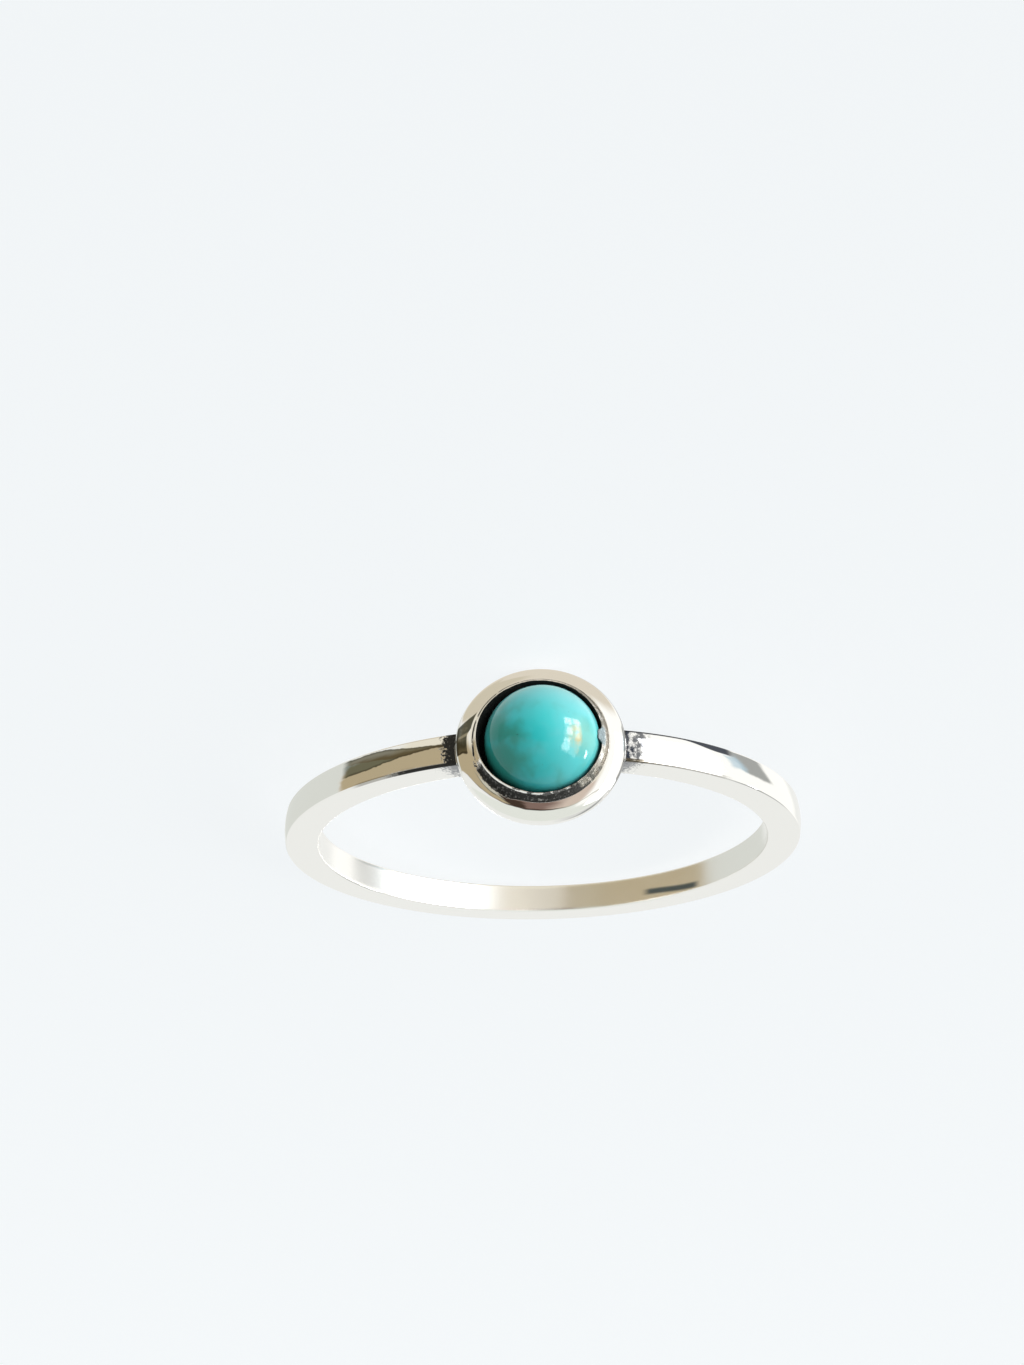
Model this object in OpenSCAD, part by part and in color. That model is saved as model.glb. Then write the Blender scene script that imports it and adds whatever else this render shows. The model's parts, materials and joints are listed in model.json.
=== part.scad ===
// Ring with one round turquoise in a rounded collar.
// The origin is the centre of the finger hole. The ring lies on its side as it would
// by itself: the edge of the collar and the far edge of the band touch the surface below,
// so the band is a little tilted and the stone looks towards -Y.

/* [Band] */
// Diameter of the finger hole
finger_d = 17.3; // [15.7:0.1:20.6]
// Thickness of the band, from the finger outwards
band_t = 1.3; // [1.1:0.05:1.6]
// Width of the band along the finger
band_w = 1.15; // [0.9:0.05:1.5]
// How far the middle of the outer face stands above its edges
band_crown = 0.05; // [0.02:0.01:0.08]
// Radius of the softened corners of the band
band_edge = 0.07; // [0.04:0.01:0.1]

/* [Collar] */
// Diameter of the collar at its widest
collar_d = 5.9; // [5.7:0.05:6.4]
// How far the crest of the collar's rim stands above the outside of the band
collar_rise = 0.05; // [0:0.01:0.2]
// Radius of the rim from its crest out to the widest level
rim_r = 0.42; // [0.38:0.02:0.5]
// Radius of the rim below the widest level
flank_r = 0.7; // [0.5:0.05:0.9]
// Slope of the underside, measured from the collar's own axis
flank_slope = 35; // [25:1:40]
// Lean of the hand-set collar towards the surface that the ring lies on
collar_lean = 5; // [0:0.5:6]

/* [Lip] */
// Diameter of the lip where it rises from the rim
lip_base_d = 4.7; // [4.6:0.02:4.8]
// Outer diameter of the lip along its burnished edge
lip_top_d = 4.36; // [4.32:0.02:4.44]
// Height of the lip above the crest of the rim
lip_rise = 0.33; // [0.2:0.01:0.5]
// Radius of the burnished edge
lip_edge_r = 0.035; // [0.03:0.005:0.045]

/* [Stone] */
// Diameter of the round cabochon
stone_d = 4.0; // [3.9:0.02:4.04]
// Height of the dome above the girdle
dome_h = 1.75; // [1.2:0.05:1.85]
// Height of the straight girdle below the dome
girdle_h = 0.8; // [0.6:0.05:0.85]
// Bevel around the flat back of the stone
back_bevel = 0.12; // [0.05:0.01:0.2]
// Diameter of the pocket that the stone sits in
pocket_d = 4.24; // [4.22:0.01:4.26]
// Sideways offset of the stone in its pocket
stone_shift = 0.07; // [0:0.01:0.07]
// Gap between the flat back of the stone and the floor of the pocket
seat_gap = 0.04; // [0.02:0.01:0.08]

/* [Hidden] */

$fn = 96;
overcut = 1;

// Band
finger_r = finger_d / 2;
outer_r = finger_r + band_t;
middle_r = finger_r + band_t / 2;
half_w = band_w / 2;
crown_r = (half_w * half_w + band_crown * band_crown) / (2 * band_crown);

// Collar and lip: radii from the collar's axis, heights from the centre of the finger hole
collar_r = collar_d / 2;
crest_h = outer_r + collar_rise;
widest_h = crest_h - rim_r;
crest_ring_r = collar_r - rim_r;
flank_ring_r = collar_r - flank_r;
flank_end_r = flank_ring_r + flank_r * cos(flank_slope);
flank_end_h = widest_h - flank_r * sin(flank_slope);
base_h = finger_r - 1;
base_r = flank_end_r - (flank_end_h - base_h) * tan(flank_slope);
lip_base_r = lip_base_d / 2;
lip_top_r = lip_top_d / 2;
lip_h = crest_h + lip_rise;
groove_h = widest_h + sqrt(rim_r * rim_r - pow(crest_ring_r - lip_base_r, 2));

// Stone
stone_r = stone_d / 2;
dome_base_h = crest_h;
dome_r = (stone_r * stone_r + dome_h * dome_h) / (2 * dome_h);
stone_back_h = dome_base_h - girdle_h;
pocket_floor_h = stone_back_h - seat_gap;

// Tilt at which the flank of the collar and the far corner of the band touch one plane.
// touch_r is the radius of the rounded surface that touches it on the collar's side.
function tilt_on(touch_r) =
    let (
        reach = widest_h - middle_r,
        drop = collar_r - touch_r,
        collar_y = -middle_r - reach * cos(collar_lean) + drop * sin(collar_lean),
        collar_z = -reach * sin(collar_lean) - drop * cos(collar_lean),
        span = outer_r - band_edge - collar_y,
        fall = collar_z + half_w - band_edge
    )
    asin((touch_r - band_edge) / norm([span, fall])) - atan2(fall, span);

// The plane touches the flank while the collar's axis points up a little, and the rim otherwise
rest_tilt = tilt_on(flank_r) > collar_lean ? tilt_on(flank_r) : tilt_on(rim_r);

module lying() {
    rotate([-rest_tilt, 0, 0]) children();
}

// Turns an upright axis to the collar's own axis, with its heights still from the hole's centre
module on_collar_axis() {
    translate([0, -middle_r, 0])
        rotate([collar_lean + 90, 0, 0])
            translate([0, 0, -middle_r])
                children();
}

module rounded_strip(length, width, corner) {
    translate([corner, -width / 2]) square([length - 2 * corner, width]);
    translate([0, corner - width / 2]) square([length, width - 2 * corner]);
    for (x = [corner, length - corner], y = [corner - width / 2, width / 2 - corner])
        translate([x, y]) circle(corner);
}

// Square wire with softened corners and a slightly crowned outer face
module band_section() {
    intersection() {
        translate([finger_r, 0]) rounded_strip(band_t, band_w, band_edge);
        translate([outer_r - crown_r, 0]) circle(crown_r);
    }
}

module band() {
    rotate_extrude() band_section();
}

// Half section of the collar: underside, rounded rim and the lip that rises inside it
module collar_section() {
    polygon([[0, base_h], [base_r, base_h], [flank_end_r, flank_end_h], [0, flank_end_h]]);
    intersection() {
        translate([flank_ring_r, widest_h]) circle(flank_r);
        translate([0, flank_end_h]) square([collar_d, widest_h - flank_end_h]);
    }
    translate([crest_ring_r, widest_h]) circle(rim_r);
    translate([0, flank_end_h]) square([flank_ring_r, widest_h - flank_end_h]);
    translate([0, widest_h - rim_r / 2]) square([crest_ring_r, rim_r / 2]);
    polygon([
        [0, widest_h - rim_r / 2],
        [lip_base_r, widest_h - rim_r / 2],
        [lip_base_r, groove_h],
        [lip_top_r, lip_h - lip_edge_r],
        [0, lip_h - lip_edge_r]
    ]);
    translate([lip_top_r - lip_edge_r, lip_h - lip_edge_r]) circle(lip_edge_r);
}

module pocket() {
    translate([0, 0, pocket_floor_h]) cylinder(d = pocket_d, h = lip_h - pocket_floor_h + overcut);
}

module collar() {
    difference() {
        on_collar_axis() rotate_extrude() collar_section();
        translate([0, 0, -collar_d]) cylinder(r = finger_r, h = 2 * collar_d);
    }
}

// Band, collar and lip are soldered together, so they are one piece of silver
module silver_ring() {
    color("silver") lying() difference() {
        union() {
            band();
            collar();
        }
        on_collar_axis() pocket();
    }
}

// Half section of the cabochon: flat bevelled back, straight girdle and a high dome
module stone_section() {
    polygon([
        [0, stone_back_h],
        [stone_r - back_bevel, stone_back_h],
        [stone_r, stone_back_h + back_bevel],
        [stone_r, dome_base_h],
        [0, dome_base_h]
    ]);
    intersection() {
        translate([0, dome_base_h + dome_h - dome_r]) circle(dome_r);
        translate([0, dome_base_h]) square([stone_r, dome_h + overcut]);
    }
}

module turquoise_stone() {
    color("mediumturquoise") lying() translate([-stone_shift, 0, 0])
        on_collar_axis() rotate_extrude() stone_section();
}

silver_ring();
turquoise_stone();
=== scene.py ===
"""Slim silver ring with one round turquoise: its looks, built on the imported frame.

The ring is modelled in its own upright frame, with the axis of the finger hole along Z and
the stone towards -Y, and is then laid on its side as the frame says. The collar has an upright
frame of its own, whose Z runs outwards from the centre of the hole. Left, right, upper and lower
are as in the photograph: +X is left in both frames, and down is the ring's +Z and the collar's
+Y. The materials measure in millimetres in these frames, and in degrees unless a comment says
radians.
"""

import json
import math

import bmesh
import bpy
from bpy.props import FloatProperty, FloatVectorProperty, IntProperty, PointerProperty
from bpy.types import Operator, Panel, PropertyGroup
from mathutils import Matrix, Vector


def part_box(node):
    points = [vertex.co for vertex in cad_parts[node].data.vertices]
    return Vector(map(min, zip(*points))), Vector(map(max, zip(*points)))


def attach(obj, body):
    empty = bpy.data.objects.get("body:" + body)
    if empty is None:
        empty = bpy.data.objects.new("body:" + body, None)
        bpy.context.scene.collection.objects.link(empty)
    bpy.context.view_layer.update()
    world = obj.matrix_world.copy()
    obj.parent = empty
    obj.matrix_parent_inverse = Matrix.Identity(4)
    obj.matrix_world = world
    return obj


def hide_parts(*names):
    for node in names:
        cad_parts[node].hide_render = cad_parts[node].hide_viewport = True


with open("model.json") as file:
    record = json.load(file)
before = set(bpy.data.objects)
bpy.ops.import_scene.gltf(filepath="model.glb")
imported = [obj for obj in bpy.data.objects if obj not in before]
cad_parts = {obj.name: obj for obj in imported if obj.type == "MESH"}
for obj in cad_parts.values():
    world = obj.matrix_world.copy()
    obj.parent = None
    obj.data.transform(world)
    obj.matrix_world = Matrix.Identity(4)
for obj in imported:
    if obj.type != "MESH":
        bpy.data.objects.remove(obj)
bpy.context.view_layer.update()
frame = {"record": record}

bl_info = {
    "name": "Turquoise ring",
    "version": (1, 0, 0),
    "blender": (4, 5, 0),
    "location": "3D View > Sidebar > Ring",
    "description": "Models a slim silver ring with one round turquoise, and its studio",
    "category": "Add Mesh",
}

MM = 0.001
# Edges sharper than this stay sharp
CREASE = math.radians(30)
HOLE = frame["record"]["mounts"][0]
FINGER_RADIUS = HOLE["dims"]["r_mm"] * MM
# The ring lies tilted by this angle about X, on the edges of its collar and its band
REST_TILT = math.atan2(HOLE["axis"][1], HOLE["axis"][2])
FLOOR_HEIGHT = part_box("silver_ring")[0].z


def length(name, description, default):
    """A size in millimetres, kept in metres"""
    return FloatProperty(
        name=name, description=description, default=default * MM, unit="LENGTH", precision=5
    )


def angle(name, description, default):
    """An angle in degrees, kept in radians"""
    return FloatProperty(
        name=name, description=description, default=math.radians(default), subtype="ANGLE"
    )


def colour(name, description, default):
    """A linear colour"""
    return FloatVectorProperty(
        name=name, description=description, default=default, subtype="COLOR", min=0, max=1
    )


class BandSizes(PropertyGroup):
    """Sizes of the square wire band"""

    finger_radius: length("Finger radius", "Radius of the finger hole", FINGER_RADIUS / MM)
    thickness: length("Thickness", "Thickness from the finger outwards", 1.3)
    width: length("Width", "Width along the finger", 1.15)
    crown: length("Crown", "Rise of the outer face at its middle", 0.05)
    corner: length("Corner", "Radius of the softened corners", 0.07)
    buried: angle("Buried end", "Angle from the stone at which the wire ends in the collar", 14)
    steps: IntProperty(name="Steps", description="Steps round the band", default=332)


class CollarSizes(PropertyGroup):
    """Sizes of the rounded collar and of the lip inside it"""

    radius: length("Radius", "Radius of the collar at its widest", 2.95)
    rise: length("Rise", "Height of the rim's crest above the outside of the band", 0.05)
    rim: length("Rim", "Height of the rim's crest above its widest level", 0.42)
    rim_reach: length("Rim reach", "How far the rim's curve spreads from its widest level", 1.0)
    flank: length("Flank", "Radius of the rim below the widest level", 0.7)
    flank_slope: angle("Flank slope", "Slope of the underside from the collar's axis", 35)
    lean: angle("Lean", "Lean of the hand-set collar", 5)
    lip_foot: length("Lip foot", "Radius of the lip where it rises from the rim", 2.35)
    lip_top: length("Lip top", "Outer radius of the lip's burnished edge", 2.18)
    lip_rise: length("Lip rise", "Height of the lip above the crest of the rim", 0.33)
    lip_edge: length("Lip edge", "Radius of the burnished edge", 0.035)
    pocket: length("Pocket", "Radius of the pocket for the stone", 2.12)
    pocket_depth: length("Pocket depth", "Depth of the pocket below the rim's crest", 0.84)
    segments: IntProperty(name="Segments", description="Segments round the collar", default=360)


class StoneSizes(PropertyGroup):
    """Sizes of the round cabochon"""

    radius: length("Radius", "Radius of the stone", 2.0)
    dome: length("Dome", "Height of the dome above the girdle", 1.75)
    girdle: length("Girdle", "Height of the straight girdle below the dome", 0.8)
    back_bevel: length("Back bevel", "Bevel round the flat back", 0.12)
    shift: length("Shift", "Sideways offset of the stone in its pocket", 0.07)
    segments: IntProperty(name="Segments", description="Segments round the stone", default=192)


class SilverFinish(PropertyGroup):
    """Colours and wear of the silver"""

    polished: colour("Polished", "Polished silver", (0.93, 0.92, 0.895))
    # Round the stone this black is painted shade in the pocket
    oxide_and_shade: colour("Oxide", "Black oxide in the joints and round the stone", (0.010, 0.010, 0.009))
    tarnish: colour("Tarnish", "Blue-grey tarnish beside the joints", (0.10, 0.11, 0.14))
    lip_wave: length("Lip wave", "Unevenness of the hand-pressed lip", 0.05)
    lip_lean: length("Lip lean", "How far one side of the lip leans away from the stone", 0.07)
    burr: length("Burr", "Reach of the small burr that leans over the stone", 0.17)


class StoneFinish(PropertyGroup):
    """Colours of the turquoise"""

    body: colour("Body", "Main colour", (0.036, 0.54, 0.545))
    # Pale also paints light towards the top and the right of the stone
    pale: colour("Pale", "Paler clouds", (0.17, 0.50, 0.52))
    # Deep also paints shade on the left of the stone
    deep_and_shade: colour("Deep", "Greener clouds", (0.035, 0.31, 0.24))
    matrix: colour("Matrix", "Faint tan matrix", (0.44, 0.41, 0.21))


class StudioSettings(PropertyGroup):
    """The camera and the light"""

    floor: colour("Floor", "Pale floor", (0.871, 0.904, 0.922))
    window: FloatProperty(name="Window", description="Brightness of the window", default=3.7)
    ambient: FloatProperty(name="Ambient", description="Light from all round", default=0.52)
    glow: FloatProperty(name="Glow", description="Share of its colour the floor gives", default=0.93)

    distance: length("Distance", "Distance from the lens to the centre of the hole", 80)
    height: angle("Height", "Angle of the view above the plane of the band", 18.47)
    roll: angle("Roll", "Roll of the camera", -1.3)
    lens: FloatProperty(name="Lens", description="Focal length in millimetres", default=54.22)


def only(obj):
    """Selects this object alone and makes it active"""
    bpy.ops.object.select_all(action="DESELECT")
    obj.select_set(True)
    bpy.context.view_layer.objects.active = obj


def edit():
    """Enters edit mode with nothing selected"""
    bpy.ops.object.mode_set(mode="EDIT")
    bpy.ops.mesh.select_all(action="DESELECT")


def face_outwards():
    """Turns every face outwards and leaves edit mode"""
    bpy.ops.mesh.select_all(action="SELECT")
    bpy.ops.mesh.normals_make_consistent(inside=False)
    bpy.ops.object.mode_set(mode="OBJECT")


def pick(elements, test):
    """Selects only the vertices, edges or faces of the edited mesh that pass the test"""
    bpy.ops.mesh.select_all(action="DESELECT")
    mesh = bpy.context.object.data
    for element in getattr(bmesh.from_edit_mesh(mesh), elements):
        if test(element):
            element.select_set(True)
    bmesh.update_edit_mesh(mesh)


def arc(centre, radius, start, end, steps):
    """Points along an arc between two angles, each a distance from the axis and a height"""
    turn = (end - start) / steps
    return [
        (
            centre[0] + radius * math.cos(start + turn * step),
            centre[1] + radius * math.sin(start + turn * step),
        )
        for step in range(steps + 1)
    ]


def straight(start, end, steps):
    """Points along a straight stretch, without its first one"""
    return [
        tuple(a + (b - a) * step / steps for a, b in zip(start, end)) for step in range(1, steps + 1)
    ]


def raise_outline(name, outline, segments):
    """A closed turned shape: a disc that is extruded and resized from each point to the next"""
    radius, height = outline[0]
    bpy.ops.object.select_all(action="DESELECT")
    bpy.ops.mesh.primitive_circle_add(
        vertices=segments, radius=radius, fill_type="NGON", location=(0, 0, height)
    )
    obj = bpy.context.object
    obj.name = name
    bpy.ops.object.transform_apply(location=True, rotation=True, scale=True)
    edit()
    bpy.ops.mesh.select_all(action="SELECT")
    for new_radius, new_height in outline[1:]:
        bpy.ops.mesh.extrude_region_move(
            TRANSFORM_OT_translate={"value": (0, 0, new_height - height)}
        )
        grow = new_radius / radius
        bpy.ops.transform.resize(value=(grow, grow, 1), center_override=(0, 0, new_height))
        radius, height = new_radius, new_height
    face_outwards()
    return obj


def apply_boolean(obj, other, operation):
    """Joins or cuts with another object, which is then removed"""
    only(obj)
    modifier = obj.modifiers.new("solder", "BOOLEAN")
    modifier.operation = operation
    modifier.solver = "EXACT"
    modifier.object = other
    bpy.ops.object.modifier_apply(modifier=modifier.name)
    bpy.data.objects.remove(other)


def settle(obj, matrix):
    """Turns and moves the mesh, and leaves the object at the origin"""
    only(obj)
    obj.matrix_world = matrix @ obj.matrix_world
    bpy.ops.object.transform_apply(location=True, rotation=True, scale=True)


def collar_place(band, collar):
    """From the upright collar to its place on the ring, in the ring's own frame"""
    middle = band.finger_radius + band.thickness / 2
    return (
        Matrix.Translation((0, -middle, 0))
        @ Matrix.Rotation(math.pi / 2 + collar.lean, 4, "X")
        @ Matrix.Translation((0, 0, -middle))
    )


def lying():
    """From the ring's own frame to the pose in which it lies"""
    return Matrix.Rotation(-REST_TILT, 4, "X")


def crest_height(band, collar):
    """Height of the rim's crest above the centre of the finger hole"""
    return band.finger_radius + band.thickness + collar.rise


def widest_height(band, collar):
    """Height of the level at which the collar is widest"""
    return crest_height(band, collar) - collar.rim


class Shading:
    """Adds nodes to a shader tree and links them; the sums and masks give an output socket"""

    def __init__(self, tree):
        self.tree = tree
        tree.nodes.clear()

    def add(self, kind, inputs=(), **settings):
        """A shader node with its settings, whose inputs are values or sockets"""
        node = self.tree.nodes.new("ShaderNode" + kind)
        for name, value in settings.items():
            setattr(node, name, value)
        for name, value in dict(inputs).items():
            if isinstance(value, bpy.types.NodeSocket):
                self.tree.links.new(value, node.inputs[name])
            else:
                node.inputs[name].default_value = value
        return node

    def math(self, operation, *values):
        """One sum on numbers"""
        return self.add("Math", enumerate(values), operation=operation).outputs[0]

    def less(self, value, other):
        """A value with another taken from it"""
        return self.math("SUBTRACT", value, other)

    def plus(self, value, other, times=1.0):
        """A value with a multiple of another added to it"""
        return self.math("MULTIPLY_ADD", other, times, value)

    def without(self, mask):
        """What a mask leaves out"""
        return self.less(1.0, mask)

    def vector(self, operation, *values):
        """One sum on vectors"""
        node = self.add("VectorMath", enumerate(values), operation=operation)
        return node.outputs["Value" if operation in ("LENGTH", "DOT_PRODUCT") else "Vector"]

    def ramp(self, value, start, end, low=0.0, high=1.0):
        """A smooth step from low at start to high at end, in either direction"""
        inputs = {0: value, 1: start, 2: end, 3: low, 4: high}
        if start > end:
            inputs = {0: value, 1: end, 2: start, 3: high, 4: low}
        node = self.add("MapRange", inputs, interpolation_type="SMOOTHSTEP")
        return node.outputs[0]

    def stretch(self, value, start, end, soft):
        """One between start and end, falling to nothing over a soft margin outside"""
        return self.both(self.ramp(value, start - soft, start), self.ramp(value, end + soft, end))

    def both(self, *values):
        """The product of several masks"""
        product = values[0]
        for value in values[1:]:
            product = self.math("MULTIPLY", product, value)
        return product

    def mix(self, factor, first, second):
        """A blend of two colours"""
        node = self.add("Mix", data_type="RGBA")
        sockets = (node.inputs[0], node.inputs[6], node.inputs[7])
        for socket, value in zip(sockets, (factor, first, second)):
            if isinstance(value, bpy.types.NodeSocket):
                self.tree.links.new(value, socket)
            elif isinstance(value, (int, float)):
                socket.default_value = value
            else:
                socket.default_value = (*value[:3], 1)
        return node.outputs[2]

    def most(self, *values):
        """The largest of several masks"""
        largest = values[0]
        for value in values[1:]:
            largest = self.math("MAXIMUM", largest, value)
        return largest

    def noise(self, place, scale, detail, roughness):
        """Cloudy noise from nought to one, with features of about one over scale"""
        inputs = {"Vector": place, "Scale": scale, "Detail": detail, "Roughness": roughness}
        return self.add("TexNoise", inputs).outputs[0]

    def uneven(self, place, scale, detail, roughness):
        """The same noise, as much below nought as above it"""
        return self.less(self.noise(place, scale, detail, roughness), 0.5)

    def placed(self, matrix):
        """The object's own coordinates in another upright frame, in millimetres"""
        into = (Matrix.Scale(1 / MM, 4) @ matrix.inverted()).decompose()
        coordinates = self.add("TexCoord").outputs["Object"]
        inputs = {
            "Vector": coordinates,
            "Location": into[0],
            "Rotation": into[1].to_euler(),
            "Scale": into[2],
        }
        return self.add("Mapping", inputs).outputs[0]

    def parts(self, place):
        """The three numbers of a vector"""
        return self.add("SeparateXYZ", {0: place}).outputs[:]

    def from_axis(self, place):
        """Distance of a place from the upright axis of its frame"""
        return self.vector("LENGTH", self.vector("MULTIPLY", place, (1, 1, 0)))

    def from_stone(self, x, y):
        """Angle round the ring from the stone towards the left"""
        return self.math("DEGREES", self.math("ARCTAN2", x, self.math("MULTIPLY", y, -1.0)))

    def finish(self, inputs):
        """Gives the material its surface"""
        surface = self.add("BsdfPrincipled", inputs)
        self.add("OutputMaterial", {0: surface.outputs[0]})


def new_material(obj, name):
    """A material with nodes on the object, and its shading"""
    material = bpy.data.materials.new(name)
    material.use_nodes = True
    obj.data.materials.clear()
    obj.data.materials.append(material)
    return Shading(material.node_tree)


def outer_face(shade, on_ring, band):
    """The outer face of the band, without its sides"""
    outside = (band.finger_radius + band.thickness) / MM
    return shade.ramp(shade.from_axis(on_ring), outside - 0.14, outside - 0.08)


def joint_masks(shade, on_collar, on_ring, band, collar):
    """Where the joints beside the collar are black, smeared, bluish, and lined with brown"""
    across, _, height = shade.parts(on_collar)
    left = shade.ramp(across, -1, 1)
    right = shade.without(left)
    on_top = outer_face(shade, on_ring, band)
    ragged = shade.uneven(on_collar, 7, 4, 0.7)
    fine = shade.uneven(on_collar, 11, 3, 0.75)

    # Below the rim the collar is narrower, and the joint follows its flank
    slope = math.tan(collar.flank_slope)
    rounding = (1 - math.cos(collar.flank_slope)) / slope - math.sin(collar.flank_slope)
    slope_top = (widest_height(band, collar) + collar.flank * rounding) / MM
    drop = shade.math("MAXIMUM", shade.less(slope_top, height), 0.0)
    away = shade.less(shade.from_axis(on_collar), collar.radius / MM)
    gap = shade.plus(away, drop, slope)
    front = 7
    beside = shade.both(shade.ramp(gap, 0.0, 0.02), shade.ramp(height, front, front + 0.5))

    # Oxide fills the left joint, and the right one has only spots and a seam
    flecked = shade.ramp(shade.plus(fine, shade.ramp(gap, 0.1, 0.6, 0, 0.22)), 0.22, 0.14)
    filled = shade.ramp(shade.plus(gap, ragged, 0.9), 0.62, 0.45)
    filled = shade.both(filled, left, on_top, flecked)
    spots = shade.both(shade.ramp(shade.plus(gap, fine, 3.0), -0.15, -0.3), right, 0.8)
    seam = shade.ramp(gap, 0.07, 0.03)

    # Thin lines follow the lower corners of the band: black and then brown, or brown on the right
    _, _, down = shade.parts(on_ring)
    from_middle = shade.from_axis(on_ring)
    outside = (band.finger_radius + band.thickness) / MM
    edge = (band.width / 2 - band.corner) / MM
    at_corner = shade.stretch(from_middle, outside - 0.11, outside - 0.05, 0.02)
    lower = shade.both(shade.ramp(down, edge - 0.06, edge - 0.02), at_corner)
    frayed = shade.plus(shade.ramp(away, 0.6, 3.4, 0.06, -0.05), ragged, 0.3)
    corner = shade.both(lower, left, shade.ramp(frayed, -0.06, 0.0), shade.ramp(away, 2.7, 1.9))
    broken = shade.plus(ragged, shade.ramp(away, 0, 0.8, 0.6, 0.1))
    brown = shade.both(
        lower,
        right,
        shade.ramp(broken, -0.2, 0.1, 0.25, 0.85),
        shade.ramp(away, 4.2, 3.0),
        shade.ramp(away, 0.3, 2.2, 1, 0.6),
    )
    brown = shade.most(brown, shade.both(lower, left, shade.ramp(away, 4.0, 3.4), 0.5))

    # The bluish line along the upper right corner grows wider away from the collar
    outward = shade.less(shade.ramp(away, 2.0, 3.4, -edge + 0.02, -edge + 0.20), down)
    upper = shade.both(
        shade.ramp(outward, 0, 0.03),
        shade.ramp(from_middle, outside - 0.16, outside - 0.12),
        right,
        shade.ramp(away, 4.0, 3.7),
        0.97,
    )

    # Tarnish lies in blotches beside the right joint, and as a smear on the sides of the band
    blotches = shade.ramp(shade.noise(on_collar, 4, 3, 0.6), 0.40, 0.56)
    blotches = shade.plus(blotches, shade.ramp(gap, 0.35, 0.05, 0, 0.5))
    blotches = shade.both(blotches, right, on_top, shade.ramp(gap, 1.15, 0.6), 0.85)
    smear = shade.ramp(shade.plus(gap, fine, 2.4), 1.0, 0.35)
    smear = shade.both(beside, smear, shade.without(on_top), 0.8)
    black = shade.both(beside, shade.most(filled, spots, seam, corner))
    blue = shade.both(beside, shade.most(blotches, upper))
    return black, smear, blue, shade.both(beside, brown)


def olive_reflection_masks(shade, on_collar, on_ring, band, collar):
    """Painted reflection of the olive surroundings beside the left joint, its lighter and cooler
    parts, and its border
    """
    across, down, height = shade.parts(on_collar)
    from_axis = shade.from_axis(on_collar)
    uneven = shade.uneven(on_collar, 3, 3, 0.6)

    # On the rim it is a slanted patch between the lip and the widest level
    limb = collar.radius / MM
    foot = collar.lip_foot / MM
    widest = widest_height(band, collar) / MM
    inward = shade.less(limb, across)
    side = shade.both(shade.ramp(across, 1.5, 2), shade.ramp(height, widest - 0.38, widest - 0.08))
    upper = shade.plus(down, inward, 0.75)
    lower = shade.plus(shade.plus(down, inward, 0.1), uneven, 0.25)
    from_lip = shade.less(from_axis, shade.ramp(down, -0.55, -0.25, foot + 0.07, foot + 0.17))
    inside = shade.both(
        side, shade.ramp(from_lip, 0, 0.03), shade.ramp(from_axis, limb - 0.04, limb - 0.06)
    )
    patch = shade.both(inside, shade.ramp(upper, -0.56, -0.50), shade.ramp(lower, 0.46, 0.42))
    streak = shade.most(
        shade.both(shade.stretch(shade.plus(down, inward, 0.41), -0.16, -0.10, 0.05), 0.8),
        shade.ramp(uneven, 0, 0.25, 0, 0.3),
        shade.both(shade.ramp(lower, 0.15, 0.35), 0.35),
    )
    lower_edge = shade.both(inside, shade.stretch(lower, 0.40, 0.46, 0.03), 0.8)
    outer_edge = shade.both(
        side,
        shade.stretch(from_axis, limb - 0.10, limb - 0.06, 0.025),
        shade.stretch(down, -0.6, 0.4, 0.06),
    )

    # On the band it starts narrow at the collar and widens away from it, cooler in its lower part
    x, y, z = shade.parts(on_ring)
    round_ring = shade.from_stone(x, y)
    low = shade.plus(z, uneven, 0.12)
    face = shade.both(outer_face(shade, on_ring, band), shade.stretch(round_ring, 17, 43, 3))
    from_top = shade.less(low, shade.ramp(round_ring, 20, 37, -0.22, -0.48))
    to_bottom = shade.less(shade.ramp(round_ring, 22, 40, -0.13, 0.10), low)
    wedge = shade.both(face, shade.ramp(from_top, -0.03, 0.01), shade.ramp(to_bottom, -0.03, 0.02))
    wedge_edge = shade.most(shade.ramp(from_top, 0.08, 0.02), shade.ramp(to_bottom, 0.08, 0.02))
    from_warm = shade.less(low, shade.ramp(round_ring, 28, 45, -0.03, -0.30))
    cool = shade.both(wedge, shade.ramp(from_warm, -0.02, 0.02))
    streak = shade.most(shade.both(patch, streak), shade.both(wedge, 0.5))
    border = shade.most(lower_edge, outer_edge, shade.both(wedge, wedge_edge, 0.5))
    return shade.most(patch, wedge), streak, cool, border


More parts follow.
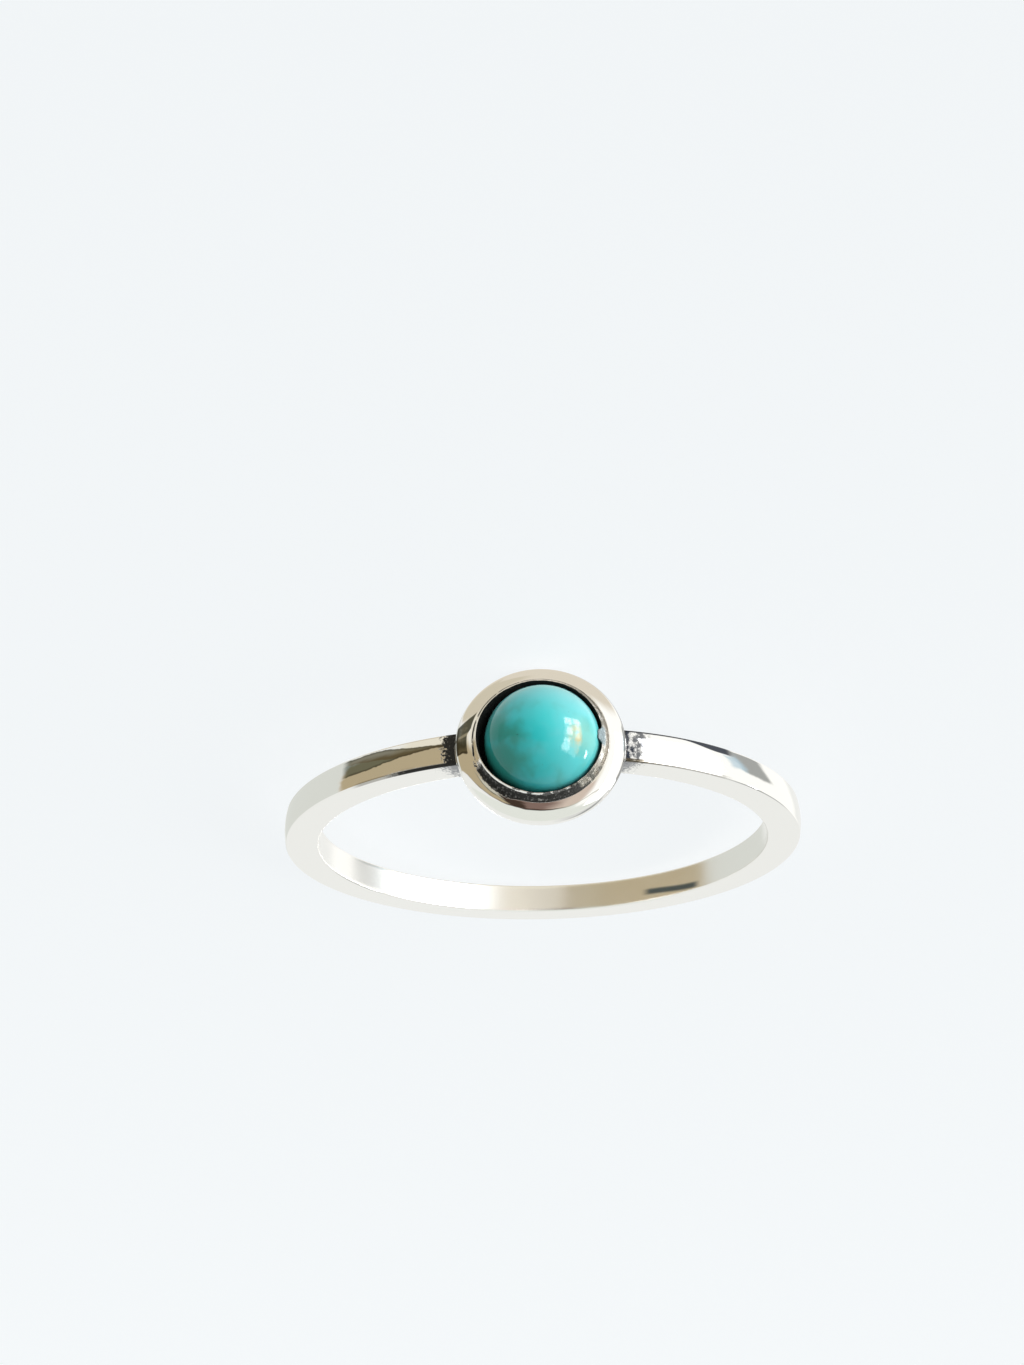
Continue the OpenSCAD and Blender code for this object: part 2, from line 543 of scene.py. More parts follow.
def lip_masks(shade, on_collar, band, collar):
    """Where the lip is black, dull and mottled, the line at its foot, and its burr and tab"""
    across, down, height = shade.parts(on_collar)
    turn = shade.math("DEGREES", shade.math("ARCTAN2", down, across))
    above = shade.less(height, crest_height(band, collar) / MM)
    fine = shade.noise(on_collar, 8, 4, 0.7)
    coarse = shade.noise(on_collar, 3.2, 3, 0.6)

    # The black spreads a little over the rim at the lower left
    frayed = shade.both(shade.stretch(turn, 24, 58, 18), shade.ramp(fine, 0.3, 0.7, 0.06, 0.11))
    from_foot = shade.less(shade.from_axis(on_collar), shade.plus(collar.lip_foot / MM, frayed))
    on_lip = shade.both(shade.ramp(from_foot, 0.03, 0), shade.ramp(above, -0.2, -0.15))

    # The slope is black below, with grey flecks, and has only a broken black line elsewhere
    spread = shade.plus(shade.stretch(turn, 34, 116, 18), shade.less(coarse, 0.5), 0.8)
    flecks = shade.ramp(fine, 0.52, 0.7, 1, 0.66)
    slope = shade.both(shade.ramp(spread, 0.3, 0.6), flecks, shade.ramp(above, 0.29, 0.25))
    edge = shade.both(shade.ramp(spread, 0.6, 0.9), shade.ramp(coarse, 0.50, 0.45), 0.9)
    edge = shade.both(edge, shade.ramp(turn, 52, 68))
    width = shade.ramp(across, 1.6, 2.1, -0.025, -0.045)
    line = shade.both(
        shade.ramp(shade.less(from_foot, width), -0.012, 0),
        shade.ramp(from_foot, 0.022, 0.01),
        shade.ramp(coarse, 0.42, 0.48),
        shade.ramp(across, -1.75, -1.5),
    )
    black = shade.both(on_lip, shade.most(slope, edge, line))

    # The right side is dull, with a brown line at its foot, and is mottled lower down
    dull = shade.ramp(coarse, 0.35, 0.6, 0.7, 1.0)
    dull = shade.both(on_lip, shade.ramp(across, -0.6, -1.4), dull)
    mottled = shade.both(
        on_lip, shade.stretch(turn, 119, 147, 12), shade.ramp(coarse, 0.56, 0.46)
    )
    foot_line = shade.both(
        on_lip, shade.stretch(from_foot, -0.07, -0.01, 0.03), shade.ramp(across, -1.6, -1.95)
    )
    burr = shade.both(shade.ramp(across, -1.7, -1.9), shade.stretch(down, -0.26, 0.34, 0.08))
    tab = shade.both(burr, shade.ramp(above, 0.1, 0.25))
    return black, dull, mottled, foot_line, burr, tab


def pocket_shade_mask(shade, on_collar, burr, band, collar):
    """The pocket, and the faces of the lip that look towards the stone, apart from the burr: painted
    shade in the gap round the stone
    """
    from_axis = shade.from_axis(on_collar)
    above = shade.less(shade.parts(on_collar)[2], crest_height(band, collar) / MM)
    turned = (lying() @ collar_place(band, collar)).to_euler()
    inputs = {"Vector": shade.add("TexCoord").outputs["Normal"], "Rotation": turned}
    normal = shade.add("Mapping", inputs, vector_type="TEXTURE").outputs[0]
    outward = shade.vector("NORMALIZE", shade.vector("MULTIPLY", on_collar, (1, 1, 0)))
    facing_in = shade.ramp(shade.vector("DOT_PRODUCT", normal, outward), 0.0, -0.15)
    foot = collar.lip_foot / MM
    inner = shade.both(facing_in, shade.ramp(from_axis, foot + 0.03, foot), shade.without(burr))
    wall = collar.pocket / MM
    bottom = shade.both(
        shade.ramp(from_axis, wall + 0.03, wall + 0.01), shade.ramp(above, -0.1, -0.2)
    )
    # The back of the collar, further down than the pocket's floor, stays bright
    floor = -collar.pocket_depth / MM
    over_floor = shade.ramp(above, floor - 0.16, floor - 0.06)
    return shade.both(over_floor, shade.most(inner, bottom))


def line_masks(shade, on_collar, on_ring, finger_side, band, collar):
    """Painted reflections: a thin dark line round the right of the collar, and a streak inside the far
    side of the band
    """
    across, down, height = shade.parts(on_collar)
    widest = widest_height(band, collar) / MM
    limit = collar.radius / MM
    limb = shade.both(
        shade.ramp(across, -0.2, -1.0),
        shade.stretch(height, widest, widest + 0.12, 0.03),
        shade.ramp(down, 1.3, 2.1, 1, 0.25),
        shade.ramp(shade.from_axis(on_collar), limit + 0.04, limit + 0.02),
        0.8,
    )
    # The streak goes by radians from the far side
    x, y, z = shade.parts(on_ring)
    from_far = shade.math("ARCTAN2", x, y)
    off = shade.less(z, shade.ramp(from_far, -0.5, -0.83, 0.16, 0.34))
    streak = shade.both(
        finger_side, shade.stretch(from_far, -0.79, -0.55, 0.06), shade.stretch(off, -0.05, 0.05, 0.13)
    )
    return limb, streak


def silver_shine(shade, on_ring, finger_side):
    """Roughness of the bright silver: marks that run round the ring, smudges, a softer inside"""
    # The ring is unrolled, with its first number in radians
    x, y, z = shade.parts(on_ring)
    around = shade.math("ARCTAN2", x, y)
    unrolled = shade.add("CombineXYZ", {0: around, 1: shade.from_axis(on_ring), 2: z})
    stretched = shade.vector("MULTIPLY", unrolled.outputs[0], (3, 60, 60))
    marks = shade.noise(stretched, 1, 3, 0.6)
    smudges = shade.noise(on_ring, 0.9, 3, 0.55)
    shine = shade.plus(shade.math("MULTIPLY", marks, 0.05), smudges, 0.06)
    return shade.plus(shine, finger_side, 0.17)


def silver_material(obj, sizes):
    """Polished silver, black in the joints and on the lip, painted black as shade round the stone,
    with painted reflections on the rim and band
    """
    band, collar, finish = sizes.band, sizes.collar, sizes.silver
    shade = new_material(obj, "polished silver")
    on_collar = shade.placed(lying() @ collar_place(band, collar))
    on_ring = shade.placed(lying())
    inside = band.finger_radius / MM
    finger_side = shade.ramp(shade.from_axis(on_ring), inside + 0.05, inside + 0.01)
    joint_black, smear, ink, rust = joint_masks(shade, on_collar, on_ring, band, collar)
    olive_reflection, streak, cool, border = olive_reflection_masks(shade, on_collar, on_ring, band, collar)
    lip_black, dull, mottled, foot_line, burr, tab = lip_masks(shade, on_collar, band, collar)
    limb, far_reflection = line_masks(shade, on_collar, on_ring, finger_side, band, collar)
    # Painted shade: the pocket and the lip's faces towards the stone are made as black as the oxide
    pocket = pocket_shade_mask(shade, on_collar, burr, band, collar)
    black = shade.most(joint_black, lip_black, pocket)

    worn_tan = (0.18, 0.17, 0.145)
    worn_brown = (0.13, 0.115, 0.09)
    worn_blue = (0.20, 0.245, 0.26)
    worn_dark = (0.07, 0.07, 0.06)
    joint_ink = (0.035, 0.042, 0.06)
    joint_rust = (0.10, 0.08, 0.05)
    limb_grey = (0.13, 0.135, 0.14)
    slate = (0.15, 0.20, 0.26)
    olive = (0.10, 0.10, 0.076)
    olive_streak = (0.36, 0.33, 0.25)
    olive_grey = (0.29, 0.33, 0.31)
    olive_edge = (0.07, 0.06, 0.04)

    # Each colour lies over those before it
    tint = finish.polished
    for mask, tone in (
        # The olive colours paint a reflection of the surroundings beside the left joint
        (olive_reflection, shade.mix(streak, olive, olive_streak)),
        (cool, olive_grey),
        (border, olive_edge),
        (dull, worn_tan),
        (foot_line, worn_brown),
        (tab, worn_blue),
        (mottled, worn_dark),
        # The grey limb line and the slate streak are painted reflections
        (limb, limb_grey),
        (far_reflection, slate),
        (smear, finish.tarnish),
        (ink, joint_ink),
        (rust, joint_rust),
        (black, finish.oxide_and_shade),
    ):
        tint = shade.mix(mask, tint, tone)

    # Dark and worn places are rougher
    worn = shade.most(
        shade.both(black, 0.4),
        shade.both(pocket, 0.9),
        shade.both(dull, 0.3),
        shade.both(tab, 0.55),
        shade.both(smear, 0.3),
    )
    roughness = shade.plus(silver_shine(shade, on_ring, finger_side), worn)
    metal = shade.without(shade.math("MULTIPLY", black, 0.6))

    # Long low waves from handwork, and grit where the silver is black or dull
    waves = shade.noise(on_ring, 0.8, 1, 0.4)
    hand = shade.add("Bump", {"Strength": 1.0, "Distance": 0.004 * MM, "Height": waves})
    grit = shade.noise(on_collar, 11, 4, 0.7)
    inputs = {
        "Strength": shade.most(black, dull),
        "Distance": 0.05 * MM,
        "Height": grit,
        "Normal": hand.outputs[0],
    }
    bump = shade.add("Bump", inputs)
    shade.finish(
        {"Base Color": tint, "Roughness": roughness, "Metallic": metal, "Normal": bump.outputs[0]}
    )


def turquoise_material(obj, sizes):
    """Polished turquoise: soft clouds, greener on one side with painted shade, paler with painted
    light towards the top and the other side, and a faint tan matrix on that other side
    """
    finish = sizes.turquoise
    shade = new_material(obj, "turquoise")
    place = shade.placed(lying() @ collar_place(sizes.band, sizes.collar))
    across, down, _ = shade.parts(place)
    clouds = shade.noise(place, 0.55, 3, 0.5)
    body = shade.mix(shade.ramp(clouds, 0.45, 0.75, 0, 0.5), finish.body, finish.pale)
    # Greener clouds, and painted shade that makes the left and a little of the bottom greener
    greener_and_shaded = shade.plus(shade.noise(place, 1.3, 2, 0.5), shade.ramp(across, 0.1, 1.7, 0, 0.42))
    greener_and_shaded = shade.plus(greener_and_shaded, shade.ramp(down, 0.2, 1.5, 0, 0.08))
    body = shade.mix(shade.ramp(greener_and_shaded, 0.5, 0.95, 0, 0.85), body, finish.deep_and_shade)
    # Painted light: paler towards the top and towards the right
    painted_light = shade.plus(shade.ramp(down, 0.3, -1.6, 0, 0.8), shade.ramp(across, 0, -1.0, 0, 0.35))
    body = shade.mix(painted_light, body, finish.pale)

    # The matrix lies in a loose patch, as soft spots joined by thin veins
    matrix_middle = (-1.24, 0.54, 0)
    off = shade.vector("MULTIPLY", shade.vector("SUBTRACT", place, matrix_middle), (1.5, 0.9, 0))
    near = shade.ramp(shade.vector("LENGTH", off), 0.62, 0.12)
    halo_middle = (-1.48, 0.37, 0)
    off = shade.vector("MULTIPLY", shade.vector("SUBTRACT", place, halo_middle), (1.2, 1, 0))
    halo = shade.ramp(shade.vector("LENGTH", off), 0.85, 0.2, 0, 0.24)
    spots = shade.ramp(shade.noise(place, 1.9, 3, 0.55), 0.34, 0.64)
    vein = shade.math("ABSOLUTE", shade.uneven(place, 1.3, 4, 0.6))
    veins = shade.both(shade.ramp(vein, 0.05, 0.0), 0.25)
    matrix = shade.most(halo, shade.both(near, shade.most(spots, veins)))
    body = shade.mix(matrix, body, finish.matrix)

    # Small dark pits
    pits = shade.ramp(shade.noise(place, 9, 2, 0.5), 0.74, 0.8)
    pit_green = (0.02, 0.10, 0.10)
    body = shade.mix(shade.both(pits, 0.6), body, pit_green)
    dents = shade.add(
        "Bump", {"Strength": 0.6, "Distance": 0.01 * MM, "Height": pits}, invert=True
    )
    roughness = shade.plus(0.06, shade.noise(place, 2.4, 4, 0.6), 0.05)
    shade.finish(
        {
            "Base Color": body,
            "Roughness": roughness,
            "IOR": 1.6,
            "Specular IOR Level": 0.24,
            "Normal": dents.outputs[0],
        }
    )


def room_view(shade, round_about, level):
    """Colours of the room, by angle round the ring from the stone and by angle above it"""
    pale = (0.89, 0.90, 0.88)
    faded = (0.80, 0.83, 0.78)
    dull = (0.71, 0.73, 0.69)
    white = (1.1, 1.1, 1.07)
    beige = (0.75, 0.69, 0.58)
    cream = (0.83, 0.79, 0.67)
    sand = (0.64, 0.585, 0.46)
    khaki = (0.47, 0.39, 0.25)
    pink = (0.225, 0.15, 0.125)
    rose = (0.66, 0.55, 0.47)
    olive = (0.10, 0.095, 0.06)
    moss = (0.57, 0.56, 0.47)
    umber = (0.055, 0.035, 0.025)
    grey = (0.40, 0.41, 0.40)
    sky = (0.52, 0.68, 0.78)

    def patch(across, tall, soft):
        """A soft-edged patch of the room"""
        beside = shade.stretch(round_about, *across, soft[0])
        return shade.both(beside, shade.stretch(level, *tall, soft[1]))

    def near(value, line, width):
        """A soft line on each side of a value"""
        off = shade.math("ABSOLUTE", shade.less(value, line))
        return shade.ramp(shade.math("DIVIDE", off, width), 1.0, 0.35)

    # Pale all round, beige below the ring and faded above it
    seen = shade.mix(shade.ramp(level, -38, -46), pale, beige)
    for across, tall, soft, tone in (
        ((-70, 80), (15, 90), (20, 2), faded),
        ((98, 160), (-32, -4), (3, 8), dull),
        ((24, 112), (-68, -42), (16, 4), sand),
        ((40, 66), (-40, -22), (8, 3), cream),
        ((-28, 30), (-40, -14), (6, 4), cream),
    ):
        seen = shade.mix(patch(across, tall, soft), seen, tone)

    # The warm side to the left ends at a thin brown line, with a mossy strip along the lip
    outer_line = shade.ramp(round_about, 10, 60, 14, -1)
    inner_line = shade.plus(24, level, -0.85)
    within = shade.ramp(shade.less(level, outer_line), 0.6, -0.6)
    seen = shade.mix(shade.both(patch((14, 94), (-24, 15), (4, 6)), within), seen, khaki)
    strip = shade.ramp(shade.less(round_about, inner_line), 0.5, -0.5)
    strip = shade.both(strip, patch((12, 40), (-9, 4), (2, 5)), within)
    seen = shade.mix(strip, seen, moss)
    line = shade.both(near(round_about, inner_line, 1.7), patch((14, 40), (-9, 8), (3, 5)), within)
    seen = shade.mix(shade.both(line, 0.85), seen, olive)

    # In front, what stands before the ring, between the lip and the same thin line
    front_line = shade.ramp(round_about, -18, -34, 14, 4.5)
    below_line = shade.ramp(shade.less(level, front_line), 0.6, -0.6)
    warm = shade.mix(shade.ramp(round_about, 0, -14), pink, rose)
    seen = shade.mix(shade.both(patch((-27, 13), (-12, 20), (5, 2)), below_line), seen, warm)
    seen = shade.mix(shade.both(patch((10, 18), (-3, 15), (3, 2)), within), seen, umber)
    line = shade.both(
        near(level, outer_line, 2.1),
        shade.stretch(round_about, 10, 62, 4),
        shade.most(shade.ramp(round_about, 27, 20), 0.6),
        shade.ramp(round_about, 44, 50, 1, 0.4),
    )
    seen = shade.mix(line, seen, umber)
    width = shade.ramp(round_about, -20, 4, 1.7, 3.6)
    line = shade.both(near(level, front_line, width), shade.stretch(round_about, -54, 10, 4))
    seen = shade.mix(line, seen, shade.mix(shade.ramp(round_about, -4, -24), umber, moss))

    # The bright side to the right, with grey shapes behind it and a thin grey line across it
    bright = shade.both(patch((-142, -30), (-44, 16), (9, 12)), shade.without(line))
    seen = shade.mix(bright, seen, white)
    seen = shade.mix(patch((-118, -100), (-36, -21), (5, 3)), seen, grey)
    seen = shade.mix(shade.both(patch((-99, -94), (-30, -22), (5, 5)), 0.8), seen, sky)
    seen = shade.mix(patch((-150, -114), (24, 40), (8, 5)), seen, grey)
    return seen


def surroundings(studio):
    """The room as silver and stone mirror it, the light that it gives, and a plain backdrop"""
    world = bpy.data.worlds.new("studio")
    bpy.context.scene.world = world
    world.use_nodes = True
    shade = Shading(world.node_tree)
    # The room is upright with the ring, but for a small lean, and nothing in it is quite straight
    lean = math.radians(-2.6)
    direction = shade.add("TexCoord").outputs["Generated"]
    inputs = {"Vector": direction, "Rotation": (REST_TILT, lean, 0)}
    direction = shade.add("Mapping", inputs, vector_type="VECTOR").outputs[0]
    x, y, z = shade.parts(direction)
    wobble = shade.uneven(direction, 6, 2, 0.6)
    round_about = shade.plus(shade.from_stone(x, y), wobble, 9.0)
    level = shade.plus(shade.math("DEGREES", shade.math("ARCSINE", z)), wobble, 6.0)
    seen = room_view(shade, round_about, level)

    # Panes of the window that the stone mirrors, each with its brightness
    lit_pane = shade.both(shade.stretch(round_about, -81, -44, 2), shade.stretch(level, -33, 27, 2))
    strength = shade.both(lit_pane, 4.0)
    for start, end, low, high, bright in (
        (-60, -46, -32, -24, 18.0),
        (-80, -66, -32, -27, 16.0),
        (-59, -48, -17, -5, 15.0),
        (-76, -68, -24, -4, 11.0),
        (-57, -45, 4, 9, 15.0),
        (-58, -44, 12, 24, 11.0),
        (-105, -102, 6, 12, 28.0),
    ):
        across = shade.stretch(round_about, start, end, 3)
        pane = shade.both(across, shade.stretch(level, low, high, 3), bright)
        strength = shade.most(strength, pane)
    panes = shade.add("CombineXYZ", {0: strength, 1: strength, 2: strength}).outputs[0]
    brightened = shade.vector("ADD", seen, panes)

    # The light itself: a broad window, and more from one side than from the other
    window = shade.both(shade.stretch(round_about, -92, -38, 2), shade.stretch(level, -52, 26, 2))
    fill = shade.both(
        shade.ramp(round_about, 120, -60, 0.45, 1.1),
        shade.ramp(level, 60, -60, 0.75, 2.1),
        studio.ambient,
    )
    light = shade.most(fill, shade.both(window, studio.window))
    path = shade.add("LightPath")
    lit = shade.add("Background", {"Color": light}).outputs[0]
    mirrored = shade.add("Background", {"Color": brightened}).outputs[0]
    plain = shade.add("Background", {"Color": (*studio.floor, 1)}).outputs[0]
    by_ray = {0: path.outputs["Is Glossy Ray"], 1: lit, 2: mirrored}
    around = shade.add("MixShader", by_ray).outputs[0]
    by_ray = {0: path.outputs["Is Camera Ray"], 1: around, 2: plain}
    around = shade.add("MixShader", by_ray).outputs[0]
    shade.add("OutputWorld", {0: around})


def make_floor(studio):
    """A wide pale floor that glows a little, so that the view stays bright"""
    bpy.ops.object.select_all(action="DESELECT")
    bpy.ops.mesh.primitive_plane_add(size=2, location=(0, 0, FLOOR_HEIGHT))
    floor = bpy.context.object
    floor.name = "floor"
    floor.visible_glossy = False
    floor.visible_diffuse = False
    floor.visible_shadow = False
    shade = new_material(floor, "pale floor")
    shade.finish(
        {
            "Base Color": (0.11, 0.11, 0.11, 1),
            "Roughness": 0.9,
            "Emission Color": (*studio.floor, 1),
            "Emission Strength": studio.glow,
        }
    )
    return floor


def make_band(band):
    """Square wire with softened corners and a crowned outer face, bent round the finger"""
    flat = band.thickness - band.crown
    middle = band.finger_radius + flat / 2
    bpy.ops.object.select_all(action="DESELECT")
    bpy.ops.mesh.primitive_plane_add(size=1, location=(middle, 0, 0), rotation=(math.pi / 2, 0, 0))
    obj = bpy.context.object
    obj.name = "band"
    obj.scale = (flat, band.width, 1)
    bpy.ops.object.transform_apply(location=True, rotation=True, scale=True)
    edit()
    bpy.ops.mesh.select_all(action="SELECT")
    bpy.ops.mesh.bevel(
        offset=band.corner, offset_type="OFFSET", segments=5, profile=0.5, affect="VERTICES"
    )
    # The four faces are cut into strips, and the outer face rises towards its middle
    outside = band.finger_radius + flat
    half = band.width / 2 - band.corner
    strips = 5
    pick("edges", lambda edge: edge.calc_length() > band.corner)
    bpy.ops.mesh.subdivide(number_cuts=2 * strips - 1)
    for strip in range(strips):
        height = half * strip / strips
        rise = band.crown * (1 - (strip / strips) ** 2)
        pick(
            "verts",
            lambda vert: abs(abs(vert.co.z) - height) < 0.01 * MM
            and abs(vert.co.x - outside) < 0.001 * MM,
        )
        bpy.ops.transform.translate(value=(rise, 0, 0))
    bpy.ops.mesh.select_all(action="SELECT")
    bpy.ops.mesh.spin(
        steps=band.steps, angle=2 * (math.pi - band.buried), center=(0, 0, 0), axis=(0, 0, 1)
    )
    face_outwards()
    # The spin runs clockwise from +X, so the open stretch lies just above +X
    settle(obj, Matrix.Rotation(-math.pi / 2 - band.buried, 4, "Z"))
    return obj


def collar_outline(band, collar):
    """Underside, flank, rim, lip, burnished edge and pocket, from the back to the pocket's floor"""
    crest = crest_height(band, collar)
    widest = widest_height(band, collar)
    flank_ring = collar.radius - collar.flank
    flank = arc((flank_ring, widest), collar.flank, -collar.flank_slope, 0, 8)
    # The back reaches into the finger hole, which then cuts it flush
    overcut = 1 * MM
    back = band.finger_radius - overcut
    back_radius = flank[0][0] - (flank[0][1] - back) * math.tan(collar.flank_slope)
    # The rim is a flattened arc that rises all the way to the foot of the lip
    start = collar.radius - collar.rim_reach
    foot = math.acos((collar.lip_foot - start) / collar.rim_reach)
    flat = collar.rim / collar.rim_reach / math.sin(foot)
    rim = [
        (radius, widest + flat * (height - widest))
        for radius, height in arc((start, widest), collar.rim_reach, 0, foot, 32)
    ]
    lip_height = crest + collar.lip_rise - collar.lip_edge
    edge_ring = collar.lip_top - collar.lip_edge
    inner = math.acos((collar.pocket - edge_ring) / collar.lip_edge)
    edge = arc((edge_ring, lip_height), collar.lip_edge, 0, inner, 6)
    floor = (collar.pocket, crest - collar.pocket_depth)
    return (
        [(back_radius, back)]
        + flank
        + rim[1:]
        + straight(rim[-1], edge[0], 6)
        + edge[1:]
        + straight(edge[-1], floor, 6)
    )


def displace(obj, name, weight, direction, strength, size):
    """Moves the weighted vertices along a direction, by a cloud pattern if a size is given"""
    group = obj.vertex_groups.new(name=name)
    for vertex in obj.data.vertices:
        share = weight(vertex.co)
        if share > 0:
            group.add([vertex.index], share, "REPLACE")
    only(obj)
    modifier = obj.modifiers.new(name, "DISPLACE")
    modifier.vertex_group = name
    modifier.direction = direction
    modifier.strength = strength
    modifier.mid_level = 0
    if size:
        modifier.texture = bpy.data.textures.new(name, "CLOUDS")
        modifier.texture.noise_scale = size
        modifier.mid_level = 0.5
    bpy.ops.object.modifier_apply(modifier=modifier.name)
    obj.vertex_groups.clear()


def smooth(value):
    """Smooth step of a value from nought to one"""
    value = max(0.0, min(1.0, value))
    return value * value * (3 - 2 * value)


def press_lip(obj, band, collar, silver):
    """The hand-pressed unevenness of the lip and the small burr that leans over the stone"""
    crest = crest_height(band, collar)

    def lip_share(place):
        """More towards the lip's edge"""
        return smooth((place.z - crest) / collar.lip_rise)

    def wave_share(place):
        """Less on the left"""
        return lip_share(place) * (1 - 0.75 * smooth(place.x / collar.pocket))

    def lean_share(place):
        """Round the middle of the left side, up to 75 degrees from it"""
        away = abs(math.degrees(math.atan2(place.y, place.x)) - 1)
        return lip_share(place) * smooth(1.5 - away / 50)

    def burr_share(place):
        """In the middle of the right side, up to 8.5 degrees from it"""
        away = abs(math.degrees(math.atan2(place.y, -place.x)) - 1)
        return lip_share(place) ** 3 * smooth(1.7 - away / 5)

    displace(obj, "lip waves", wave_share, "NORMAL", silver.lip_wave, 0.22 * MM)
    displace(obj, "lip dents", wave_share, "Z", silver.lip_wave, 0.4 * MM)
    displace(obj, "lip lean", lean_share, "X", silver.lip_lean, 0)
    displace(obj, "lip burr", burr_share, "X", silver.burr, 0)
    displace(obj, "burr rise", burr_share, "Z", silver.burr, 0)


def make_silver(sizes):
    """The band, collar and lip, soldered into one piece of silver"""
    band, collar = sizes.band, sizes.collar
    ring = raise_outline("ring_silver", collar_outline(band, collar), collar.segments)
    press_lip(ring, band, collar, sizes.silver)
    settle(ring, collar_place(band, collar))
    # The cutter is a hair wider than the hole, so that no face that it leaves lies in the band's
    clearance = 0.002 * MM
    bpy.ops.object.select_all(action="DESELECT")
    bpy.ops.mesh.primitive_cylinder_add(
        vertices=2 * collar.segments,
        radius=band.finger_radius + clearance,
        depth=4 * collar.radius,
    )
    apply_boolean(ring, bpy.context.object, "DIFFERENCE")
    apply_boolean(ring, make_band(band), "UNION")
    bpy.ops.object.shade_smooth_by_angle(angle=CREASE)
    modifier = ring.modifiers.new("flat faces", "WEIGHTED_NORMAL")
    modifier.keep_sharp = True
    modifier.weight = 95
    bpy.ops.object.modifier_apply(modifier=modifier.name)
    settle(ring, lying())
    return ring


def make_stone(sizes):
    """Round cabochon: a ball cut at the girdle, drawn down to a bevelled flat back"""
    band, collar, stone = sizes.band, sizes.collar, sizes.stone
    crest = crest_height(band, collar)
    ball = (stone.radius**2 + stone.dome**2) / (2 * stone.dome)
    bpy.ops.object.select_all(action="DESELECT")
    bpy.ops.mesh.primitive_uv_sphere_add(
        segments=stone.segments,
        ring_count=stone.segments // 2,
        radius=ball,
        location=(0, 0, crest + stone.dome - ball),
    )
    obj = bpy.context.object
    obj.name = "cabochon"
    bpy.ops.object.transform_apply(location=True, rotation=True, scale=True)
    edit()
    bpy.ops.mesh.select_all(action="SELECT")
    bpy.ops.mesh.bisect(
        plane_co=(0, 0, crest), plane_no=(0, 0, 1), clear_inner=True, use_fill=True, threshold=1e-8
    )
    pick("faces", lambda face: face.normal.z < -0.99 and abs(face.verts[0].co.z - crest) < 1e-7)
    bpy.ops.mesh.extrude_region_move(
        TRANSFORM_OT_translate={"value": (0, 0, stone.back_bevel - stone.girdle)}
    )
    bpy.ops.mesh.extrude_region_move(
        TRANSFORM_OT_translate={"value": (0, 0, -stone.back_bevel)}
    )
    narrow = 1 - stone.back_bevel / stone.radius
    bpy.ops.transform.resize(
        value=(narrow, narrow, 1), center_override=(0, 0, crest - stone.girdle)
    )
    face_outwards()
    settle(obj, collar_place(band, collar))
    settle(obj, Matrix.Translation((-stone.shift, 0, 0)))
    bpy.ops.object.shade_smooth_by_angle(angle=CREASE)
    settle(obj, lying())
    return obj


def add_camera(studio):
    """The photograph's view of the band and the stone, from above the floor"""
    data = bpy.data.cameras.new("camera")
    data.lens = studio.lens
    data.sensor_width = 36
    data.clip_start = 1 * MM
    data.clip_end = 10
    camera = bpy.data.objects.new("camera", data)
    bpy.context.scene.collection.objects.link(camera)
    to_lens = Vector((0, -math.cos(studio.height), math.sin(studio.height)))
    right = Vector((-1, 0, 0))
    up = to_lens.cross(right)
    turn = Matrix((right, up, to_lens)).transposed().to_4x4() @ Matrix.Rotation(studio.roll, 4, "Z")
    # Where the centre of the hole shows in the photograph, from the middle of the frame
    frame_height = 1365
    hole_right = 30.5
    hole_down = 151.5
    focal = studio.lens / data.sensor_width * frame_height
    seen = Vector((hole_right, -hole_down, -focal)).normalized()
    aim = seen.rotation_difference(Vector((0, 0, -1))).to_matrix().to_4x4()
    camera.matrix_world = (
        lying() @ Matrix.Translation(to_lens * studio.distance) @ turn @ aim
    )
    bpy.context.scene.camera = camera


class RING_OT_silver(Operator):
    """Models the silver band, collar and lip as one soldered piece"""

    bl_idname = "ring.silver"
    bl_label = "Silver ring"

    def execute(self, context):
        ring = make_silver(context.scene.ring)
        silver_material(ring, context.scene.ring)
        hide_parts("silver_ring")
        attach(ring, "root")
        return {"FINISHED"}


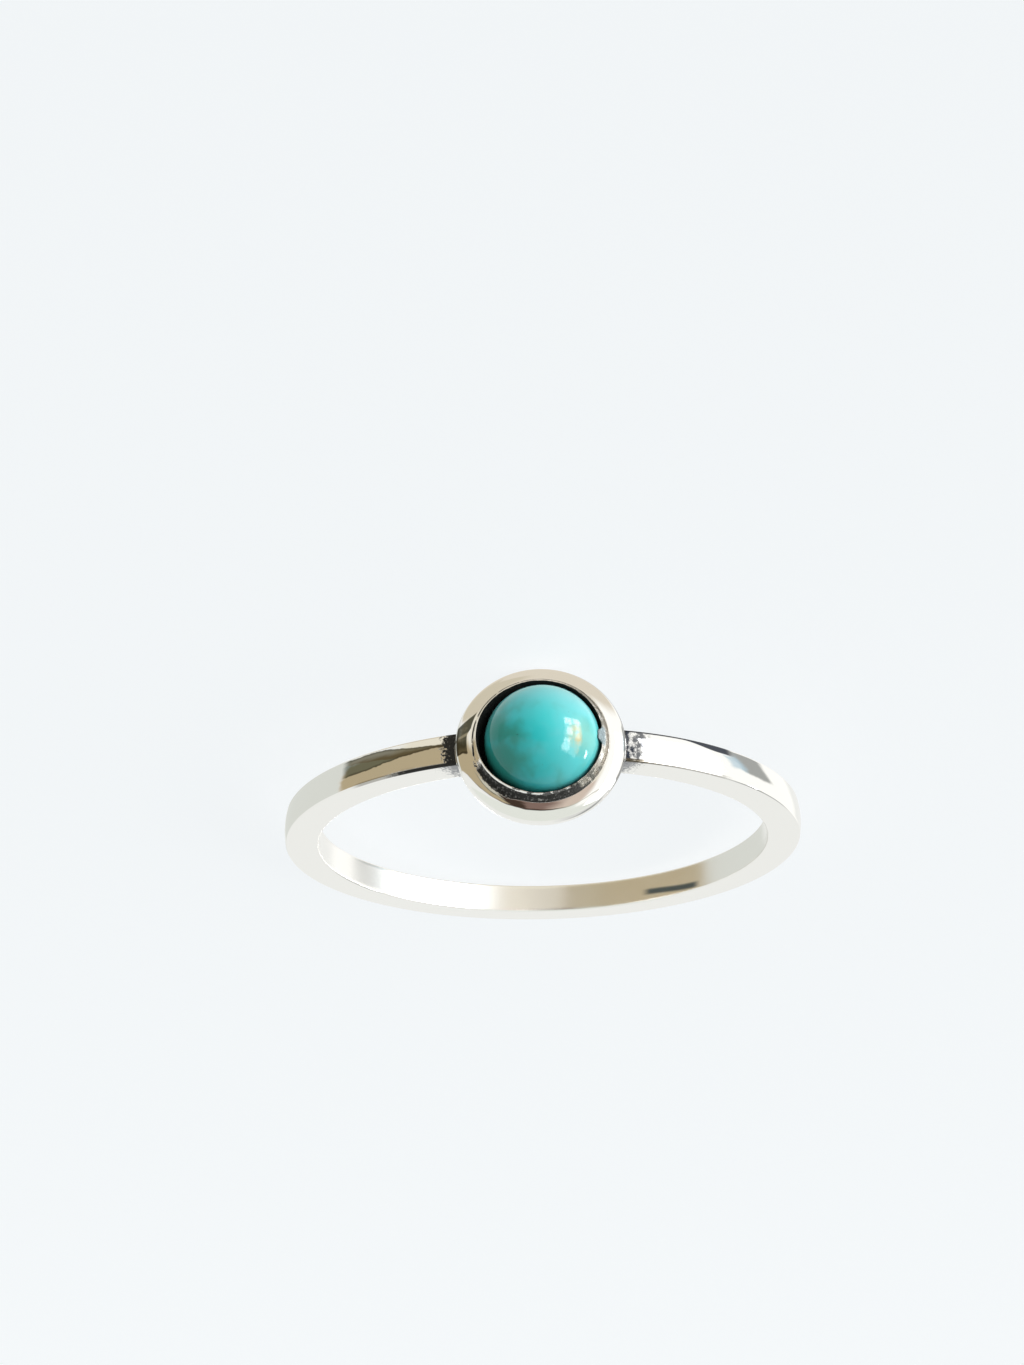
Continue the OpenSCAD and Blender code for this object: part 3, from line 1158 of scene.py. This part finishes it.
class RING_OT_stone(Operator):
    """Models the round turquoise"""

    bl_idname = "ring.stone"
    bl_label = "Turquoise"

    def execute(self, context):
        stone = make_stone(context.scene.ring)
        turquoise_material(stone, context.scene.ring)
        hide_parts("turquoise_stone")
        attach(stone, "root")
        return {"FINISHED"}


class RING_OT_studio(Operator):
    """Adds the pale floor, the light and the camera"""

    bl_idname = "ring.studio"
    bl_label = "Studio"

    def execute(self, context):
        studio = context.scene.ring.studio
        make_floor(studio)
        surroundings(studio)
        context.scene.view_settings.view_transform = "Standard"
        add_camera(studio)
        return {"FINISHED"}


class RingSettings(PropertyGroup):
    """All the settings of the ring"""

    band: PointerProperty(type=BandSizes)
    collar: PointerProperty(type=CollarSizes)
    stone: PointerProperty(type=StoneSizes)
    silver: PointerProperty(type=SilverFinish)
    turquoise: PointerProperty(type=StoneFinish)
    studio: PointerProperty(type=StudioSettings)


class RING_PT_panel(Panel):
    """Lists the settings and the operators of the ring"""

    bl_idname = "RING_PT_panel"
    bl_label = "Turquoise ring"
    bl_space_type = "VIEW_3D"
    bl_region_type = "UI"
    bl_category = "Ring"

    def draw(self, context):
        settings = context.scene.ring
        for part in ("band", "collar", "stone", "silver", "turquoise", "studio"):
            group = getattr(settings, part)
            box = self.layout.box()
            box.label(text=part.capitalize())
            for name in group.bl_rna.properties.keys():
                if name not in ("rna_type", "name"):
                    box.prop(group, name)
        for operator in OPERATORS:
            self.layout.operator(operator.bl_idname)


OPERATORS = (RING_OT_silver, RING_OT_stone, RING_OT_studio)
CLASSES = (
    BandSizes, CollarSizes, StoneSizes, SilverFinish, StoneFinish, StudioSettings, RingSettings,
    *OPERATORS, RING_PT_panel,
)


def register():
    """Adds the classes and the settings to Blender"""
    for item in CLASSES:
        bpy.utils.register_class(item)
    bpy.types.Scene.ring = PointerProperty(type=RingSettings)


def unregister():
    """Removes the classes and the settings from Blender"""
    del bpy.types.Scene.ring
    for item in reversed(CLASSES):
        bpy.utils.unregister_class(item)


def main():
    """Makes the ring and its studio"""
    register()
    bpy.ops.ring.silver()
    bpy.ops.ring.stone()
    bpy.ops.ring.studio()


if __name__ == "__main__":
    main()
